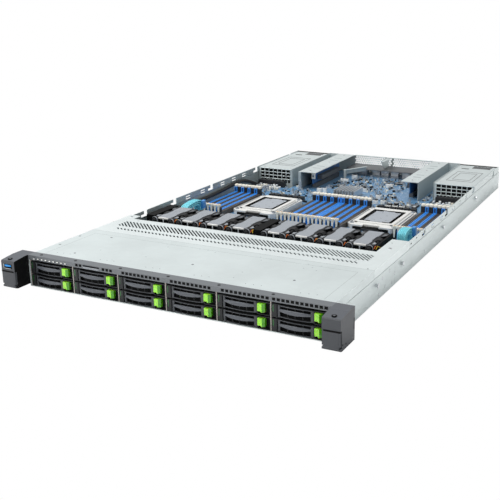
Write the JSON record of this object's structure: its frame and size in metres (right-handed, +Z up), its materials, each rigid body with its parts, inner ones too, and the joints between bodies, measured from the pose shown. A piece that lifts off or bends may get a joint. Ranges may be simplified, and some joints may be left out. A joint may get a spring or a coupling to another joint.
{
  "type": "1u rack server",
  "caption": "Low rack-mount server chassis with its lid off: drive trays with levers, a row of fans, main board, sockets and two slide-in supplies.",
  "frame": {"origin": "mid-width of the bottom face, in the plane of the rack ears' rear faces", "axes": "+X to the right seen from the front, +Y to the rear, +Z up"},
  "size_m": [0.4826, 0.8597, 0.0438],
  "materials": {
    "zinc_steel": "zinc-coated steel sheet, satin",
    "dark_enamel": "dark grey enamel on steel sheet",
    "ear_plastic": "dark grey moulded plastic",
    "charcoal_plastic": "charcoal moulded plastic",
    "black_plastic": "black moulded plastic",
    "fan_plastic": "light grey moulded plastic",
    "slot_plastic": "moulded connector plastic",
    "latch_plastic": "cream moulded plastic",
    "button_plastic": "white moulded plastic",
    "tag_plastic": "grey moulded plastic",
    "circuit_board": "steel-blue solder mask",
    "riser_board": "dark blue solder mask",
    "socket_metal": "satin stamped steel",
    "port_metal": "plated connector shells",
    "cable_jacket": "black cable sleeves",
    "flat_jacket": "light blue flat cable jackets",
    "screw_steel": "plated screws, studs and stand-offs",
    "supply_case": "plated supply case",
    "handle_steel": "bent handle"
  },
  "bodies": {
    "chassis": {"chassis_tray": "zinc_steel", "front_frame": "dark_enamel", "drive_cage": "zinc_steel", "front_cover": "zinc_steel", "vent_cover": "zinc_steel", "rack_ears": "ear_plastic", "drive_backplane": "circuit_board", "fan_housings": "fan_plastic", "fan_baffles": "black_plastic", "motherboard": "circuit_board", "cpu_sockets": "socket_metal", "dimm_slots": "slot_plastic", "dimm_latches": "latch_plastic", "board_parts": "slot_plastic", "io_ports": "port_metal", "riser_cards": "riser_board", "rear_cage": "zinc_steel", "wire_harness": "cable_jacket", "flat_cables": "flat_jacket", "fasteners": "screw_steel"},
    "power_button": {"power_button": "button_plastic"},
    "info_tag": {"info_tag": "tag_plastic"},
    "drive_tray_01": {"drive_tray_01": "charcoal_plastic"},
    "tray_lever_01": {"tray_lever_01": "charcoal_plastic"},
    "drive_tray_02": {"drive_tray_02": "charcoal_plastic"},
    "tray_lever_02": {"tray_lever_02": "charcoal_plastic"},
    "drive_tray_03": {"drive_tray_03": "charcoal_plastic"},
    "tray_lever_03": {"tray_lever_03": "charcoal_plastic"},
    "drive_tray_04": {"drive_tray_04": "charcoal_plastic"},
    "tray_lever_04": {"tray_lever_04": "charcoal_plastic"},
    "drive_tray_05": {"drive_tray_05": "charcoal_plastic"},
    "tray_lever_05": {"tray_lever_05": "charcoal_plastic"},
    "drive_tray_06": {"drive_tray_06": "charcoal_plastic"},
    "tray_lever_06": {"tray_lever_06": "charcoal_plastic"},
    "drive_tray_07": {"drive_tray_07": "charcoal_plastic"},
    "tray_lever_07": {"tray_lever_07": "charcoal_plastic"},
    "drive_tray_08": {"drive_tray_08": "charcoal_plastic"},
    "tray_lever_08": {"tray_lever_08": "charcoal_plastic"},
    "drive_tray_09": {"drive_tray_09": "charcoal_plastic"},
    "tray_lever_09": {"tray_lever_09": "charcoal_plastic"},
    "drive_tray_10": {"drive_tray_10": "charcoal_plastic"},
    "tray_lever_10": {"tray_lever_10": "charcoal_plastic"},
    "drive_tray_11": {"drive_tray_11": "charcoal_plastic"},
    "tray_lever_11": {"tray_lever_11": "charcoal_plastic"},
    "drive_tray_12": {"drive_tray_12": "charcoal_plastic"},
    "tray_lever_12": {"tray_lever_12": "charcoal_plastic"},
    "fan_rotor_1": {"fan_rotor_1": "black_plastic"},
    "fan_rotor_2": {"fan_rotor_2": "black_plastic"},
    "fan_rotor_3": {"fan_rotor_3": "black_plastic"},
    "fan_rotor_4": {"fan_rotor_4": "black_plastic"},
    "fan_rotor_5": {"fan_rotor_5": "black_plastic"},
    "fan_rotor_6": {"fan_rotor_6": "black_plastic"},
    "fan_rotor_7": {"fan_rotor_7": "black_plastic"},
    "fan_rotor_8": {"fan_rotor_8": "black_plastic"},
    "psu_left": {"psu_left": "supply_case"},
    "psu_handle_left": {"psu_handle_left": "handle_steel"},
    "ear_flap_left": {"ear_flap_left": "ear_plastic"},
    "psu_right": {"psu_right": "supply_case"},
    "psu_handle_right": {"psu_handle_right": "handle_steel"},
    "ear_flap_right": {"ear_flap_right": "ear_plastic"}
  },
  "joints": [
    {"name": "tray_slide_01", "type": "slide", "parent": "chassis", "child": "drive_tray_01", "axis": [0, -1, 0], "range_m": [0, 0.105]},
    {"name": "lever_swing_01", "type": "hinge", "parent": "drive_tray_01", "child": "tray_lever_01", "pos_m": [-0.2063, -0.0116, 0.0092], "axis": [0, 0, -1], "range_deg": [0, 60]},
    {"name": "tray_slide_02", "type": "slide", "parent": "chassis", "child": "drive_tray_02", "axis": [0, -1, 0], "range_m": [0, 0.105]},
    {"name": "lever_swing_02", "type": "hinge", "parent": "drive_tray_02", "child": "tray_lever_02", "pos_m": [-0.1343, -0.0116, 0.0092], "axis": [0, 0, -1], "range_deg": [0, 60]},
    {"name": "tray_slide_03", "type": "slide", "parent": "chassis", "child": "drive_tray_03", "axis": [0, -1, 0], "range_m": [0, 0.105]},
    {"name": "lever_swing_03", "type": "hinge", "parent": "drive_tray_03", "child": "tray_lever_03", "pos_m": [-0.0623, -0.0116, 0.0092], "axis": [0, 0, -1], "range_deg": [0, 60]},
    {"name": "tray_slide_04", "type": "slide", "parent": "chassis", "child": "drive_tray_04", "axis": [0, -1, 0], "range_m": [0, 0.105]},
    {"name": "lever_swing_04", "type": "hinge", "parent": "drive_tray_04", "child": "tray_lever_04", "pos_m": [0.0097, -0.0116, 0.0092], "axis": [0, 0, -1], "range_deg": [0, 60]},
    {"name": "tray_slide_05", "type": "slide", "parent": "chassis", "child": "drive_tray_05", "axis": [0, -1, 0], "range_m": [0, 0.105]},
    {"name": "lever_swing_05", "type": "hinge", "parent": "drive_tray_05", "child": "tray_lever_05", "pos_m": [0.0817, -0.0116, 0.0092], "axis": [0, 0, -1], "range_deg": [0, 60]},
    {"name": "tray_slide_06", "type": "slide", "parent": "chassis", "child": "drive_tray_06", "axis": [0, -1, 0], "range_m": [0, 0.105]},
    {"name": "lever_swing_06", "type": "hinge", "parent": "drive_tray_06", "child": "tray_lever_06", "pos_m": [0.1537, -0.0116, 0.0092], "axis": [0, 0, -1], "range_deg": [0, 60]},
    {"name": "tray_slide_07", "type": "slide", "parent": "chassis", "child": "drive_tray_07", "axis": [0, -1, 0], "range_m": [0, 0.105]},
    {"name": "lever_swing_07", "type": "hinge", "parent": "drive_tray_07", "child": "tray_lever_07", "pos_m": [-0.2063, -0.0116, 0.027], "axis": [0, 0, -1], "range_deg": [0, 60]},
    {"name": "tray_slide_08", "type": "slide", "parent": "chassis", "child": "drive_tray_08", "axis": [0, -1, 0], "range_m": [0, 0.105]},
    {"name": "lever_swing_08", "type": "hinge", "parent": "drive_tray_08", "child": "tray_lever_08", "pos_m": [-0.1343, -0.0116, 0.027], "axis": [0, 0, -1], "range_deg": [0, 60]},
    {"name": "tray_slide_09", "type": "slide", "parent": "chassis", "child": "drive_tray_09", "axis": [0, -1, 0], "range_m": [0, 0.105]},
    {"name": "lever_swing_09", "type": "hinge", "parent": "drive_tray_09", "child": "tray_lever_09", "pos_m": [-0.0623, -0.0116, 0.027], "axis": [0, 0, -1], "range_deg": [0, 60]},
    {"name": "tray_slide_10", "type": "slide", "parent": "chassis", "child": "drive_tray_10", "axis": [0, -1, 0], "range_m": [0, 0.105]},
    {"name": "lever_swing_10", "type": "hinge", "parent": "drive_tray_10", "child": "tray_lever_10", "pos_m": [0.0097, -0.0116, 0.027], "axis": [0, 0, -1], "range_deg": [0, 60]},
    {"name": "tray_slide_11", "type": "slide", "parent": "chassis", "child": "drive_tray_11", "axis": [0, -1, 0], "range_m": [0, 0.105]},
    {"name": "lever_swing_11", "type": "hinge", "parent": "drive_tray_11", "child": "tray_lever_11", "pos_m": [0.0817, -0.0116, 0.027], "axis": [0, 0, -1], "range_deg": [0, 60]},
    {"name": "tray_slide_12", "type": "slide", "parent": "chassis", "child": "drive_tray_12", "axis": [0, -1, 0], "range_m": [0, 0.105]},
    {"name": "lever_swing_12", "type": "hinge", "parent": "drive_tray_12", "child": "tray_lever_12", "pos_m": [0.1537, -0.0116, 0.027], "axis": [0, 0, -1], "range_deg": [0, 60]},
    {"name": "button_press", "type": "slide", "parent": "chassis", "child": "power_button", "axis": [0, 1, 0], "range_m": [0, 0.0015], "stiffness_N_per_m": 400},
    {"name": "tag_pull", "type": "slide", "parent": "chassis", "child": "info_tag", "axis": [0, -1, 0], "range_m": [0, 0.022]},
    {"name": "psu_slide_left", "type": "slide", "parent": "chassis", "child": "psu_left", "axis": [0, 1, 0], "range_m": [0, 0.185]},
    {"name": "psu_handle_swing_left", "type": "hinge", "parent": "psu_left", "child": "psu_handle_left", "pos_m": [-0.192, 0.8176, 0.031], "axis": [1, 0, 0], "range_deg": [0, 90]},
    {"name": "flap_swing_left", "type": "hinge", "parent": "chassis", "child": "ear_flap_left", "pos_m": [-0.23015, -0.0381, 0.0057], "axis": [1, 0, 0], "range_deg": [0, 90]},
    {"name": "psu_slide_right", "type": "slide", "parent": "chassis", "child": "psu_right", "axis": [0, 1, 0], "range_m": [0, 0.185]},
    {"name": "psu_handle_swing_right", "type": "hinge", "parent": "psu_right", "child": "psu_handle_right", "pos_m": [0.192, 0.8176, 0.031], "axis": [1, 0, 0], "range_deg": [0, 90]},
    {"name": "flap_swing_right", "type": "hinge", "parent": "chassis", "child": "ear_flap_right", "pos_m": [0.23015, -0.0381, 0.0057], "axis": [1, 0, 0], "range_deg": [0, 90]},
    {"name": "fan_spin_1", "type": "hinge", "parent": "chassis", "child": "fan_rotor_1", "pos_m": [-0.1659, 0.245, 0.02135], "axis": [0, 1, 0], "continuous": true},
    {"name": "fan_spin_2", "type": "hinge", "parent": "chassis", "child": "fan_rotor_2", "pos_m": [-0.1215, 0.245, 0.02135], "axis": [0, 1, 0], "continuous": true},
    {"name": "fan_spin_3", "type": "hinge", "parent": "chassis", "child": "fan_rotor_3", "pos_m": [-0.0771, 0.245, 0.02135], "axis": [0, 1, 0], "continuous": true},
    {"name": "fan_spin_4", "type": "hinge", "parent": "chassis", "child": "fan_rotor_4", "pos_m": [-0.0327, 0.245, 0.02135], "axis": [0, 1, 0], "continuous": true},
    {"name": "fan_spin_5", "type": "hinge", "parent": "chassis", "child": "fan_rotor_5", "pos_m": [0.0259, 0.245, 0.02135], "axis": [0, 1, 0], "continuous": true},
    {"name": "fan_spin_6", "type": "hinge", "parent": "chassis", "child": "fan_rotor_6", "pos_m": [0.0703, 0.245, 0.02135], "axis": [0, 1, 0], "continuous": true},
    {"name": "fan_spin_7", "type": "hinge", "parent": "chassis", "child": "fan_rotor_7", "pos_m": [0.1147, 0.245, 0.02135], "axis": [0, 1, 0], "continuous": true},
    {"name": "fan_spin_8", "type": "hinge", "parent": "chassis", "child": "fan_rotor_8", "pos_m": [0.1591, 0.245, 0.02135], "axis": [0, 1, 0], "continuous": true}
  ]
}
